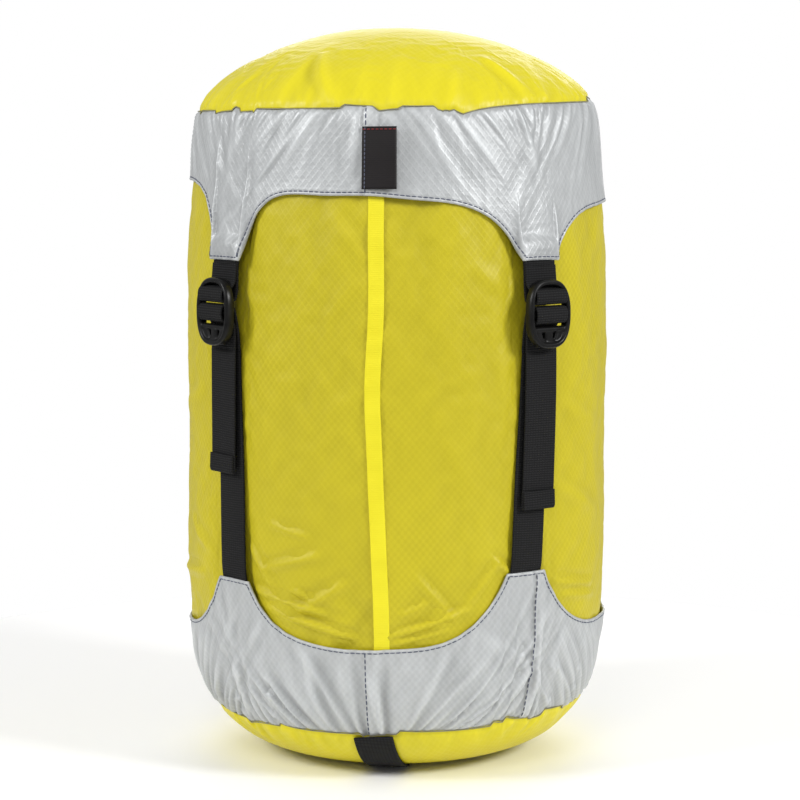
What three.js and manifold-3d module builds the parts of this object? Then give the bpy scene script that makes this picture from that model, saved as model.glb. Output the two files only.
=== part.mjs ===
// Compression sack: a round fabric stuff sack with a drawcord mouth, a separate cap with four
// tongues, and four webbing straps whose ladder locks pull the cap towards the base.
// Millimetres, +Z up. The sack stands on z = 0 with its axis on Z, and its front faces -Y.

import * as THREE from 'three';
import { mergeVertices } from 'three/addons/utils/BufferGeometryUtils.js';
import Module from 'manifold-3d';

const wasm = await Module();
wasm.setup();

// ---- Driving dimensions -------------------------------------------------------------------

const FACETS = 40; // facets round the sack
const GAP = 0.3; // clearance between neighbouring pieces
const FABRIC = 1.5; // the sack's own fabric with its seam allowances
const COVER = 1.2; // the grey fabric sewn over it
const BASE_THICKNESS = 4;

// Outlines are [radius, height] pairs.
const BASE_OUTLINE = [[0, 0], [62, 0], [80, 3], [92, 12], [98.3, 24.7]];
const WALL_OUTLINE = [
  [98.3, 25], [106.9, 48], [109, 66], [110.2, 97], [109.8, 160], [110.1, 200],
  [109.3, 250], [107.6, 285], [105.4, 305], [104.6, 322], [103.6, 330],
];
const COLLAR_OUTLINE = [
  [103.2, 330.3], [100.5, 336], [93, 342.5], [80, 348], [60, 351], [40, 352], [24, 352],
];
const DOME_OUTLINE = [
  [103.3, 337.3], [98.5, 345], [91, 353], [78.5, 361], [57.5, 369.4], [36, 375], [0, 378],
];

const SKIRT = { hem: 294, tongueEnd: 261, seam: 337, seamRadius: 103.3 };
const BAND = { hem: 71, tongueEnd: 105, seam: 25 };
const TONGUE_HALF_ANGLE = 6.5; // degrees
const SCALLOP_FADE = 6.5; // degrees in which a scallop leaves its tongue
const SCALLOP_STEPS = 12;

const WEBBING = { width: 20, thickness: 1.4 };
const TAPE = { width: 8, thickness: 0.5, x: 1 };
const LABEL = { width: 15, height: 30, thickness: 0.8, x: 3, z: 312 };
const HANDLE_END_HEIGHT = 23;

// Each strap station: its angle from the front, towards +X, and the height of its tail's end.
const STATIONS = [
  { name: 'front_left', angle: -45, tailEnd: 155 },
  { name: 'front_right', angle: 45, tailEnd: 139 },
  { name: 'back_right', angle: 135, tailEnd: 150 },
  { name: 'back_left', angle: -135, tailEnd: 146 },
];

// Ladder lock. Heights are above the floor, depths are outwards from LOCK.wall.
const LOCK = { wall: 109.9, back: 4.6, front: 10.2, width: 27, bottom: 219, top: 253, cornerRadius: 8 };
const LOCK_SLOTS = [[246, 250], [237, 243], [230, 234]];
const SLOT_WIDTH = 21.4;
const STRAP_JOIN_HEIGHT = 216.7; // where the strap leaves the ladder lock's own loop
const STRAP_DEPTH = 1; // the load strap's middle, outwards from the wall
const TAIL_DEPTH = 3.1;
const TAIL_HEM = 10;

// Each loop is the middle line of its webbing, as [depth, height].
const ANCHOR_LOOP_LINE = [
  [2.7, 260.6], [2.7, 253.5], [3.2, 249.8], [4.6, 248.6], [9.8, 247.9], [11.2, 246.4],
  [11.2, 242.8], [10, 241.5], [4.6, 241.2], [2.6, 242.6], [1.5, 247], [1, 252.5], [1, 260.6],
];
const STRAP_WRAP_LINE = [
  [1, 217], [1, 226], [2, 233], [3.4, 238.2], [4.8, 239], [9.8, 239.3], [11.2, 237.6],
  [11.2, 234], [10, 232.4], [4.6, 231.6], [3.3, 229.8], [3.1, 217],
];

// Drawcord mouth under the cap.
const CORD = { diameter: 2.6, ringRadius: 25.3, ringHeight: 355, spacing: 3.6, end: -63, lockHeight: 358.3 };
const CORD_RING_STEPS = 14;
const HEM = { inner: 22, outer: 28, bottom: 352.3, top: 357.7, wall: 1.1 };
const CORD_LOCK = { y: -44, radius: 6, bore: 4.6, closedEnd: -12, openEnd: 10, endWall: 1.2 };
const CORD_HOLE = { halfWidth: 3.6, halfHeight: 1.7 };
const PLUNGER = { radius: 4.3, headRadius: 5.8, innerEnd: -5.2, headStart: 13.2, headEnd: 16.2, slotEnd: 6.6 };
const SPRING = { radius: 3, wire: 0.6, start: -10.2, end: -5.8, turns: 2.5, stepsPerTurn: 12 };
const PULL = { width: 10, length: 14, thickness: 4 };

// ---- Materials ----------------------------------------------------------------------------

const material = (color, roughness, metalness = 0) =>
  new THREE.MeshStandardMaterial({ color, roughness, metalness, side: THREE.DoubleSide });

const yellowRipstop = () => material(0xd8cb3c, 0.45);
const domeRipstop = () => material(0xf0df2e, 0.45);
const greyRipstop = () => material(0xb9bfc2, 0.35);
const tapeYellow = () => material(0xf5e92c, 0.5);
const blackWebbing = () => material(0x1f2022, 0.8);
const blackPlastic = () => material(0x17181a, 0.4);
const blackLabel = () => material(0x1a1a1c, 0.7);
const blackCord = () => material(0x232427, 0.8);
const springSteel = () => material(0xb8bbbf, 0.3, 1);

// ---- Geometry helpers ---------------------------------------------------------------------

const radians = (degrees) => THREE.MathUtils.degToRad(degrees);

/** Bare closed geometry: positions only, shared corners merged, faces turned outwards. */
function closed(source) {
  const bare = source.clone();
  bare.deleteAttribute('normal');
  bare.deleteAttribute('uv');
  const merged = mergeVertices(bare, 1e-4);
  const point = (i) => new THREE.Vector3().fromBufferAttribute(merged.attributes.position, i);
  const faces = [];
  let volume = 0;
  for (let i = 0; i < merged.index.count; i += 3) {
    const [a, b, c] = [0, 1, 2].map((k) => merged.index.getX(i + k));
    if (a === b || b === c || c === a) continue;
    faces.push([a, b, c]);
    volume += point(a).dot(point(b).cross(point(c)));
  }
  merged.setIndex(faces.flatMap(([a, b, c]) => (volume < 0 ? [a, c, b] : [a, b, c])));
  return merged;
}

function toSolid(geometry) {
  const source = closed(geometry);
  return new wasm.Manifold(new wasm.Mesh({
    numProp: 3,
    vertProperties: new Float32Array(source.attributes.position.array),
    triVerts: new Uint32Array(source.index.array),
  }));
}

function toGeometry(solid) {
  const result = solid.getMesh();
  const geometry = new THREE.BufferGeometry();
  geometry.setAttribute('position', new THREE.BufferAttribute(new Float32Array(result.vertProperties), 3));
  geometry.setIndex(new THREE.BufferAttribute(new Uint32Array(result.triVerts), 1));
  return geometry;
}

const cut = (geometry, ...cutters) =>
  toGeometry(cutters.reduce((solid, cutter) => solid.subtract(toSolid(cutter)), toSolid(geometry)));

/** A line of [x, y] points moved sideways to its left, with mitred corners. */
function offsetLine(points, distance) {
  const line = points.map(([x, y]) => new THREE.Vector2(x, y));
  const leftOf = (a, b) => new THREE.Vector2(a.y - b.y, b.x - a.x).normalize();
  return line.map((point, i) => {
    const before = i > 0 ? leftOf(line[i - 1], point) : leftOf(point, line[i + 1]);
    const after = i < line.length - 1 ? leftOf(point, line[i + 1]) : before;
    const mitre = before.clone().add(after).normalize();
    return point.clone().addScaledVector(mitre, distance / mitre.dot(before));
  });
}

/** A profile of Vector2(radius, height) turned about Z. */
function turned(profile, segments = FACETS) {
  return closed(new THREE.LatheGeometry(profile, segments).rotateX(Math.PI / 2));
}

/** A thin turned shell: the outline is its outer face, read upwards. Steep ends are cut level. */
function turnedShell(outline, thickness) {
  const outer = outline.map(([x, y]) => new THREE.Vector2(x, y));
  const inner = offsetLine(outline, thickness);
  const last = outer.length - 1;
  for (const [end, next] of [[0, 1], [last, last - 1]]) {
    const run = outer[next].clone().sub(outer[end]);
    if (outer[end].x === 0) inner[end].x = 0;
    else if (Math.abs(run.y) > Math.abs(run.x)) inner[end].y = outer[end].y;
  }
  inner.reverse();
  if (outer[last].x === 0) return turned([...inner, ...outer]);
  if (outer[0].x === 0) return turned([...outer, ...inner]);
  return turned([...outer, ...inner, outer[0].clone()]);
}

function shapeOf(points) {
  return new THREE.Shape(points.map(([x, y]) => new THREE.Vector2(x, y)));
}

/** A closed outline of [outwards, up] points, given its width along X. */
function acrossX(outline, width) {
  const geometry = new THREE.ExtrudeGeometry(shapeOf(outline), { depth: width, bevelEnabled: false });
  geometry.translate(0, 0, -width / 2);
  const axes = [new THREE.Vector3(0, 1, 0), new THREE.Vector3(0, 0, 1), new THREE.Vector3(1, 0, 0)];
  return closed(geometry.applyMatrix4(new THREE.Matrix4().makeBasis(...axes)));
}

/** A flat strip of webbing or tape whose middle line is [outwards, up]. */
function strip(line, width, thickness) {
  const outline = [...offsetLine(line, thickness / 2), ...offsetLine(line, -thickness / 2).reverse()];
  return acrossX(outline.map((point) => [point.x, point.y]), width);
}

function roundedRectangle(width, height, radius) {
  const shape = new THREE.Shape();
  const x = width / 2 - radius;
  const y = height / 2 - radius;
  shape.absarc(x, y, radius, 0, Math.PI / 2);
  shape.absarc(-x, y, radius, Math.PI / 2, Math.PI);
  shape.absarc(-x, -y, radius, Math.PI, 1.5 * Math.PI);
  shape.absarc(x, -y, radius, 1.5 * Math.PI, 2 * Math.PI);
  return shape;
}

/** An upright plate: the shape is drawn in X and Z, and depth runs outwards along Y from `from`. */
function plate(shape, from, to, curveSegments = 3) {
  const geometry = new THREE.ExtrudeGeometry(shape, { depth: to - from, bevelEnabled: false, curveSegments });
  return closed(geometry.rotateX(Math.PI / 2).translate(0, to, 0));
}

function boxAt(size, centre) {
  return new THREE.BoxGeometry(...size).translate(...centre);
}

// ---- The sack's surface -------------------------------------------------------------------

function wallRadius(height) {
  const above = WALL_OUTLINE.findIndex(([, z]) => z >= height);
  if (above <= 0) return WALL_OUTLINE[0][0];
  const [lowRadius, low] = WALL_OUTLINE[above - 1];
  const [highRadius, high] = WALL_OUTLINE[above];
  return THREE.MathUtils.mapLinear(height, low, high, lowRadius, highRadius);
}

/** Points [radius, height] that follow the wall from one height to another, `out` away from it. */
function alongWall(low, high, out) {
  const between = WALL_OUTLINE.map(([, z]) => z).filter((z) => z > low && z < high);
  return [low, ...between, high].map((z) => [wallRadius(z) + out, z]);
}

/**
 * A cutter that takes the scallops out of a ring in front and behind. Its edge runs at `hem`
 * between two tongues and fades into each tongue's end.
 */
function scallopCutter({ hem, tongueEnd }) {
  const radius = wallRadius(hem) + GAP + COVER;
  const limit = 45 - TONGUE_HALF_ANGLE;
  const edge = [];
  for (let i = -SCALLOP_STEPS; i <= SCALLOP_STEPS; i += 1) {
    const angle = limit * Math.sin((i / SCALLOP_STEPS) * (Math.PI / 2));
    const fade = Math.exp(-(limit - Math.abs(angle)) / SCALLOP_FADE);
    edge.push([radius * Math.sin(radians(angle)), hem + (tongueEnd - hem) * fade]);
  }
  const beyond = tongueEnd + Math.sign(tongueEnd - hem) * 10;
  const side = edge.at(-1)[0];
  const outline = [[-side, beyond], ...edge, [side, beyond]];
  const reach = 2 * radius;
  return plate(shapeOf(outline), -reach, reach);
}

/** A ring of fabric outside the wall with a scalloped edge and four tongues. */
function scallopedRing(outline, edge) {
  const cutter = scallopCutter(edge);
  return cut(turnedShell(outline, COVER), cutter, cutter.clone().rotateZ(Math.PI / 2));
}

// ---- Pieces turned about the sack's axis --------------------------------------------------

function basePanel() {
  const grooveWidth = WEBBING.width + 4 * GAP;
  const grooveDepth = WEBBING.thickness + GAP;
  const groove = boxAt([grooveWidth, 4 * BASE_OUTLINE.at(-1)[0], 2 * grooveDepth], [0, 0, 0]);
  return cut(turnedShell(BASE_OUTLINE, BASE_THICKNESS), groove);
}

function lidSkirt() {
  const top = WALL_OUTLINE.at(-1)[1];
  const outline = [...alongWall(SKIRT.tongueEnd, top, GAP + COVER), [SKIRT.seamRadius, SKIRT.seam]];
  return scallopedRing(outline, SKIRT);
}

const baseBand = () => scallopedRing(alongWall(BAND.seam, BAND.tongueEnd, GAP + COVER), BAND);

/** The mouth's hem is a channel that is open outwards, where the drawcord lies. */
function mouthHem() {
  const { inner, outer, bottom, top, wall } = HEM;
  const corners = [
    [inner, bottom], [outer, bottom], [outer, bottom + wall], [inner + wall, bottom + wall],
    [inner + wall, top - wall], [outer, top - wall], [outer, top], [inner, top], [inner, bottom],
  ];
  return turned(corners.map(([x, y]) => new THREE.Vector2(x, y)), FACETS);
}

// ---- Webbing ------------------------------------------------------------------------------

/** The handle lies in the base panel's groove, and each end rises beside the panel's edge. */
function baseHandle() {
  const middle = WEBBING.thickness / 2;
  const flatEnd = 71.5;
  const rising = offsetLine(BASE_OUTLINE.slice(2), -(GAP + WEBBING.thickness / 2))
    .map((point) => [point.x, point.y])
    .filter(([, z]) => z < HANDLE_END_HEIGHT);
  const half = [[flatEnd, middle], ...rising];
  const line = [...half.map(([y, z]) => [-y, z]).reverse(), ...half];
  return strip(line, WEBBING.width, WEBBING.thickness);
}

function loadStrap() {
  const line = alongWall(BAND.tongueEnd + GAP, STRAP_JOIN_HEIGHT, STRAP_DEPTH);
  return strip(line, WEBBING.width, WEBBING.thickness);
}

function strapLoop(line) {
  const placed = line.map(([depth, z]) => [LOCK.wall + depth, z]);
  return strip(placed, WEBBING.width, WEBBING.thickness);
}

/** The tail hangs in front of the load strap, and its end is folded outwards and stitched. */
function strapTail(endHeight) {
  const { thickness, width } = WEBBING;
  const back = alongWall(endHeight, STRAP_JOIN_HEIGHT, TAIL_DEPTH - thickness / 2);
  const face = alongWall(endHeight + TAIL_HEM, STRAP_JOIN_HEIGHT, TAIL_DEPTH + thickness / 2);
  const [faceEnd] = face;
  const fold = [[faceEnd[0] + thickness, endHeight], [faceEnd[0] + thickness, faceEnd[1]]];
  return acrossX([...back, ...face.reverse(), ...fold.reverse()], width);
}

function seamTape() {
  const line = alongWall(BAND.hem + 2 * GAP, SKIRT.hem - 2, GAP + TAPE.thickness / 2);
  return strip(line, TAPE.width, TAPE.thickness);
}

function label() {
  const low = LABEL.z - LABEL.height / 2;
  const out = 2 * GAP + COVER + LABEL.thickness / 2;
  return strip(alongWall(low, low + LABEL.height, out), LABEL.width, LABEL.thickness);
}

// ---- Ladder lock --------------------------------------------------------------------------

function ladderLock() {
  const height = LOCK.top - LOCK.bottom;
  const middle = (LOCK.top + LOCK.bottom) / 2;
  const frame = roundedRectangle(LOCK.width, height, LOCK.cornerRadius);
  const slots = LOCK_SLOTS.map(([low, high]) => {
    const size = [SLOT_WIDTH, 4 * (LOCK.front - LOCK.back), high - low];
    return boxAt(size, [0, LOCK.back, (low + high) / 2 - middle]);
  });
  return cut(plate(frame, LOCK.back, LOCK.front), ...slots).translate(0, LOCK.wall, middle);
}

// ---- Drawcord, its lock and its pull ------------------------------------------------------

/** The cord comes out of the lock, goes once round in the mouth's channel and comes back. */
function drawcord() {
  const { ringRadius, ringHeight, spacing, end, lockHeight } = CORD;
  const side = spacing / 2;
  const way = [[end, lockHeight], [-52, lockHeight], [-46, lockHeight], [-40, lockHeight], [-31, 355.2]];
  const leave = 20;
  const points = way.map(([y, z]) => new THREE.Vector3(-side, y, z));
  for (let i = 0; i <= CORD_RING_STEPS; i += 1) {
    const angle = radians(leave + ((360 - 2 * leave) * i) / CORD_RING_STEPS);
    const x = -ringRadius * Math.sin(angle);
    points.push(new THREE.Vector3(x, -ringRadius * Math.cos(angle), ringHeight));
  }
  points.push(...way.map(([y, z]) => new THREE.Vector3(side, y, z)).reverse());
  const path = new THREE.CatmullRomCurve3(points, false, 'centripetal');
  const section = new THREE.Shape().absarc(0, 0, CORD.diameter / 2, 0, 2 * Math.PI);
  return closed(new THREE.ExtrudeGeometry(section, { steps: 64, curveSegments: 4, extrudePath: path }));
}

/** A solid of revolution about X: its profile is [distance along X, radius]. */
function turnedAboutX(profile, segments) {
  const points = profile.map(([x, radius]) => new THREE.Vector2(radius, x));
  return closed(new THREE.LatheGeometry(points, segments).rotateZ(-Math.PI / 2));
}

function cordHole(from, to) {
  const size = [to - from, 4 * CORD_LOCK.radius, 2 * CORD_HOLE.halfHeight];
  return boxAt(size, [(from + to) / 2, 0, 0]);
}

const atCordLock = (geometry) => geometry.translate(0, CORD_LOCK.y, CORD.lockHeight);

function cordLockBarrel() {
  const { radius, bore, closedEnd, openEnd, endWall } = CORD_LOCK;
  const floor = closedEnd + endWall;
  const cup = [[closedEnd, 0], [closedEnd, radius], [openEnd, radius], [openEnd, bore], [floor, bore], [floor, 0]];
  const hole = cordHole(-CORD_HOLE.halfWidth, CORD_HOLE.halfWidth);
  return atCordLock(cut(turnedAboutX(cup, 20), hole));
}

function cordLockPlunger() {
  const { radius, headRadius, innerEnd, headStart, headEnd, slotEnd } = PLUNGER;
  const profile = [
    [innerEnd, 0], [innerEnd, radius], [headStart, radius], [headStart, headRadius],
    [headEnd, headRadius], [headEnd, 0],
  ];
  const hole = cordHole(-CORD_HOLE.halfWidth, slotEnd);
  return atCordLock(cut(turnedAboutX(profile, 20), hole));
}

function cordLockSpring() {
  const { radius, wire, start, end, turns, stepsPerTurn } = SPRING;
  const steps = turns * stepsPerTurn;
  const points = [];
  for (let i = 0; i <= steps; i += 1) {
    const angle = (i / stepsPerTurn) * 2 * Math.PI;
    const x = start + ((end - start) * i) / steps;
    points.push(new THREE.Vector3(x, radius * Math.cos(angle), radius * Math.sin(angle)));
  }
  const path = new THREE.CatmullRomCurve3(points);
  const section = new THREE.Shape().absarc(0, 0, wire / 2, 0, 2 * Math.PI);
  const options = { steps, curveSegments: 3, extrudePath: path };
  return atCordLock(closed(new THREE.ExtrudeGeometry(section, options)));
}

/** The pull joins the two cord ends, so the lock can't come off. */
function cordPull() {
  const { width, length, thickness } = PULL;
  const shape = roundedRectangle(width, length, width / 3);
  const body = plate(shape, 0, thickness).rotateX(-Math.PI / 2);
  return body.translate(0, CORD.end - GAP - length / 2, CORD.lockHeight - thickness / 2);
}

// ---- Assembly -----------------------------------------------------------------------------

const group = new THREE.Group();

function add(parent, name, geometry, finish) {
  const mesh = new THREE.Mesh(geometry, finish);
  mesh.name = name;
  geometry.computeVertexNormals();
  parent.add(mesh);
  return mesh;
}

add(group, 'side_wall', turnedShell(WALL_OUTLINE, FABRIC), yellowRipstop());
add(group, 'base_panel', basePanel(), domeRipstop());
add(group, 'base_band', baseBand(), greyRipstop());
add(group, 'base_handle', baseHandle(), blackWebbing());

add(group, 'collar', turnedShell(COLLAR_OUTLINE, FABRIC), yellowRipstop());
add(group, 'mouth_hem', mouthHem(), yellowRipstop());
add(group, 'drawcord', drawcord(), blackCord());
add(group, 'cord_pull', cordPull(), blackPlastic());
add(group, 'cord_lock_barrel', cordLockBarrel(), blackPlastic());
add(group, 'cord_lock_plunger', cordLockPlunger(), blackPlastic());
add(group, 'cord_lock_spring', cordLockSpring(), springSteel());

add(group, 'lid_dome', turnedShell(DOME_OUTLINE, FABRIC), domeRipstop());
add(group, 'lid_skirt', lidSkirt(), greyRipstop());

// A station's own +Y points away from the sack, so the front one is turned by half a turn.
function station(degrees) {
  const holder = new THREE.Group();
  holder.rotation.z = Math.PI + radians(degrees);
  group.add(holder);
  return holder;
}

const front = station(0);
add(front, 'seam_tape', seamTape(), tapeYellow()).position.x = -TAPE.x;
add(front, 'label', label(), blackLabel()).position.x = -LABEL.x;

for (const { name, angle, tailEnd } of STATIONS) {
  const place = station(angle);
  add(place, `load_strap_${name}`, loadStrap(), blackWebbing());
  add(place, `anchor_loop_${name}`, strapLoop(ANCHOR_LOOP_LINE), blackWebbing());
  add(place, `ladder_lock_${name}`, ladderLock(), blackPlastic());
  add(place, `strap_wrap_${name}`, strapLoop(STRAP_WRAP_LINE), blackWebbing());
  add(place, `strap_tail_${name}`, strapTail(tailEnd), blackWebbing());
}

export default group;
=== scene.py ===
"""Looks of the compression sack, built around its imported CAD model. Metres, +Z up, front at -Y.

Angles go round the sack from the front (-Y) towards +X. `lift` is a distance outwards from a surface.
"""

import math

import bmesh
import bpy
import numpy as np
from mathutils import Matrix, Vector


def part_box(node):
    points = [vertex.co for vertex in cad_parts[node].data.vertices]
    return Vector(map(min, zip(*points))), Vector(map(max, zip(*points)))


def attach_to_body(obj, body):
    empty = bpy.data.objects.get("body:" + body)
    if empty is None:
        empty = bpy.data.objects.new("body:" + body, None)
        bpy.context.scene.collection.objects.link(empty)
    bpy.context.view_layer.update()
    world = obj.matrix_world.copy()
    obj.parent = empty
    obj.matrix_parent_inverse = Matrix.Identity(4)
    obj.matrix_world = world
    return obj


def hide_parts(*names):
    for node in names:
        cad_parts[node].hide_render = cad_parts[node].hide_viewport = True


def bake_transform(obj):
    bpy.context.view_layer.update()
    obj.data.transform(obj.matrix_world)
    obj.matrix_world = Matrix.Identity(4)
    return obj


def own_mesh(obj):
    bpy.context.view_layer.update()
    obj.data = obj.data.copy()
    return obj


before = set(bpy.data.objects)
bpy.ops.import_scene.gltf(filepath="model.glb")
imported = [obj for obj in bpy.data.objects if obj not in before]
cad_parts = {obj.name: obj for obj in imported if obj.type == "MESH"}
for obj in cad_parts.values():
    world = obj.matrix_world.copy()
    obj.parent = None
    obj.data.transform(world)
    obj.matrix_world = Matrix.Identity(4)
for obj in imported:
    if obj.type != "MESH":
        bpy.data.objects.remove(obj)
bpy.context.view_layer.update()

MM = 0.001
TURN = 2 * math.pi

# ---- Driving dimensions ------------------------------------------------------------------------

CAMERA = {"distance": 1.35, "height": 0.338, "azimuth": 6.0, "pitch": 6.55, "lens": 115.7, "shift": 0.004}

# Outlines as (radius, height), in millimetres.
WALL_OUTLINE = [
    (103.5, 46), (106.2, 54), (108.8, 68), (110.2, 97), (109.8, 160), (110.1, 200),
    (109.3, 250), (107.6, 285), (105.4, 305), (104.2, 322), (102.8, 332),
]
CAP_OUTLINE = [
    (110.6, 252), (110.3, 262), (109.2, 285), (107.4, 305), (106.2, 322), (104.2, 334), (100.9, 341),
    (94.3, 348.8), (84.0, 356.6), (69.0, 364.2), (48.5, 371.4), (25, 376.2), (0, 377.8),
]
FOOT_OUTLINE = [
    (0, 0.6), (36, 0.6), (54, 1.4), (68, 4.2), (80, 9.4), (89.2, 16.4), (96.5, 25), (102, 34.5), (105.6, 44),
    (109, 60), (110.6, 78), (111.3, 95), (111.4, 112),
]
COLLAR_OUTLINE = [(102.4, 331), (99, 337), (92, 342.5), (79, 347), (60, 350.3), (40, 351.6), (24, 352.6)]

TONGUE_HALF_ANGLE = math.radians(6.0)
SKIRT_TONGUES = (-43.9, 45.4, 135, -135)
BAND_TONGUES = (-41.8, 41.4, 137, -137)
HEM_INSET = 1.6 * MM  # from a grey hem's edge to its row of stitches
TOP_SEAM = 337.5 * MM
BASE_SEAM = 26 * MM
WEB_WIDTH, WEB_THICKNESS = 20 * MM, 1.3 * MM
STRAP_DEPTH, TAIL_DEPTH = 0.15, 3.1  # of a strap's and a tail's middles from the wall, in millimetres
LOCK_WALL = 109.9 * MM
LOCK_MIDDLE = 236 * MM
STATIONS = {"front_left": -45, "front_right": 45, "back_right": 135, "back_left": -135}
STRAP_MIDDLES = (-44, 44, 136, -136)  # where a strap lies between its two tongues, in degrees
# how far each strap leans across from its ladder lock down to its lower end, in millimetres
STRAP_DRIFTS = {"front_left": 3.8, "front_right": -7.0, "back_right": 3.78, "back_left": -3.78}
STRAP_JOINS = (203.0, 208.0, 216.8)  # heights where a strap's lower, slack and upper stretches meet
STRAP_TUCK = 8.0  # how far its lower end lies under the band
TAIL_TOP = 216.9
CORD_LOCK_Y, CORD_LOCK_HEIGHT = -44, 358.3

SACK_RADIUS = 0.11  # turns angles into distances along the wall
SEAM_RADIUS = 0.109  # and along the hems and seams
AMBIENT = 0.45
MOST_MOVED = 2.5 * MM  # what the simulation may move any point of the cloth


# ---- Outlines and points on them ---------------------------------------------------------------

def runs_along(line):
    """The distance along a line of points, at each of them."""
    return np.concatenate([[0], np.cumsum(np.linalg.norm(np.diff(line, axis=0), axis=1))])


def unit(vectors):
    return vectors / np.linalg.norm(vectors, axis=1)[:, None]


def under(value, limit, soft):
    """1 well under a limit and 0 well over it."""
    return 1 / (1 + np.exp(np.clip((value - limit) / soft, -50, 50)))


def smooth_line(points, steps=14):
    """Points along a smooth curve through the given ones."""
    p = np.array(points, float)
    u = runs_along(p)
    slope = np.gradient(p, u, axis=0)
    slope[0] = (p[1] - p[0]) / (u[1] - u[0])
    slope[-1] = (p[-1] - p[-2]) / (u[-1] - u[-2])
    found = []
    for i in range(len(p) - 1):
        span = u[i + 1] - u[i]
        t = np.linspace(0, 1, steps, endpoint=False)[:, None]
        found.append(
            (2 * t**3 - 3 * t**2 + 1) * p[i] + (t**3 - 2 * t**2 + t) * span * slope[i]
            + (3 * t**2 - 2 * t**3) * p[i + 1] + (t**3 - t**2) * span * slope[i + 1]
        )
    return np.vstack([*found, p[-1:]])


class Outline:
    """A smooth outline turned about Z. `run` is the distance along it from its first point."""

    def __init__(self, points_mm):
        line = smooth_line(points_mm) * MM
        line[:, 0] = np.maximum(line[:, 0], 0)
        self.line = line
        self.runs = runs_along(line)
        step = unit(np.gradient(line, self.runs, axis=0))
        self.normals = np.stack([step[:, 1], -step[:, 0]], 1)
        self.end = self.runs[-1]

    def run_at(self, height):
        """The run at a height, on an outline that rises all the way past its flat start."""
        return np.interp(height, self.line[:, 1], self.runs)

    def radius_at(self, run):
        return np.interp(run, self.runs, self.line[:, 0])

    def points(self, angle, run, lift=0.0):
        angle, run, lift = np.broadcast_arrays(angle, run, lift)
        out = [np.interp(run, self.runs, column) for column in (*self.line.T, *self.normals.T)]
        radius = np.maximum(out[0] + lift * out[2], 0)
        return np.stack([radius * np.sin(angle), -radius * np.cos(angle), out[1] + lift * out[3]], -1)


WALL, CAP, FOOT = Outline(WALL_OUTLINE), Outline(CAP_OUTLINE), Outline(FOOT_OUTLINE)
COLLAR = Outline(COLLAR_OUTLINE)


def from_tongue(angle, middles):
    """How far round an angle lies from the middle of the nearest tongue."""
    apart = np.mod(np.asarray(angle)[..., None] - np.radians(middles) + math.pi, TURN) - math.pi
    return np.min(np.abs(apart), axis=-1)


def wobble(angle, *waves):
    """A smooth periodic offset: each wave is (turns, size, phase)."""
    return sum(size * np.sin(turns * angle + phase) for turns, size, phase in waves)


def skirt_hem(angle):
    """Height of the skirt's scalloped lower edge."""
    beyond = np.maximum(from_tongue(angle, SKIRT_TONGUES) - TONGUE_HALF_ANGLE, 0)
    # the front right scallop leaves its tongue more slowly than the left one does
    tongue = np.exp(-beyond / (math.radians(5.4) + math.radians(1.8) * np.sin(angle)))
    hem = 261.3 * tongue + (293.6 - 6.0 * np.sin(angle)) * (1 - tongue)
    return (hem + wobble(angle, (1, 0.4, 0.5), (9, 0.3, 1.0), (16, 0.25, 2.0))) * MM


def band_hem(angle):
    """Height of the base band's scalloped upper edge."""
    beyond = np.maximum(from_tongue(angle, BAND_TONGUES) - TONGUE_HALF_ANGLE, 0)
    tongue = np.exp(-beyond / math.radians(8.6))
    hem = 70.6 + 33.5 * tongue + (2.0 + 3.0 * tongue) * np.sin(angle)
    return (hem + wobble(angle, (9, 0.4, 2.2), (14, 0.3, 0.3))) * MM


def tucks(count, size, seed):
    """Small steps that gathered fabric leaves in a seam: sawteeth that rise sharply and fade away."""
    local = np.random.default_rng(seed)
    where = np.sort(local.uniform(0, TURN, count))
    height = local.uniform(0.3, 1.0, count) * size * local.choice([-1, 1], count)
    reach = np.radians(local.uniform(3, 11, count))

    def offset(angle):
        total = np.zeros(np.shape(angle))
        for a, h, w in zip(where, height, reach):
            ahead = np.mod(np.asarray(angle) - a, TURN)
            total += h * np.exp(-ahead / w) * np.clip(ahead / math.radians(0.7), 0, 1)
        return total

    return offset


top_tucks = tucks(34, 2.6 * MM, 5)
base_tucks = tucks(36, 3.6 * MM, 8)


def top_seam(angle):
    return TOP_SEAM + 2.6 * MM * np.sin(angle - 0.15) + top_tucks(angle)


def base_seam(angle):
    away = 1 - np.cos(angle)
    return BASE_SEAM + 3.6 * MM * away * 0.8 + 1.8 * MM * np.sin(angle) + base_tucks(angle)


def angle_grid(count):
    """Angles round the sack, closer together beside the tongues, where the hems are steep."""
    fine = np.linspace(-math.pi, math.pi, 7201)
    away = from_tongue(fine, STRAP_MIDDLES)
    weight = 1 + 2.2 * np.exp(-(((away - TONGUE_HALF_ANGLE) / math.radians(4)) ** 2))
    share = np.concatenate([[0], np.cumsum(weight[:-1])])
    return np.interp(np.linspace(0, share[-1], count, endpoint=False), share, fine)


# ---- Folds -------------------------------------------------------------------------------------

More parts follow.
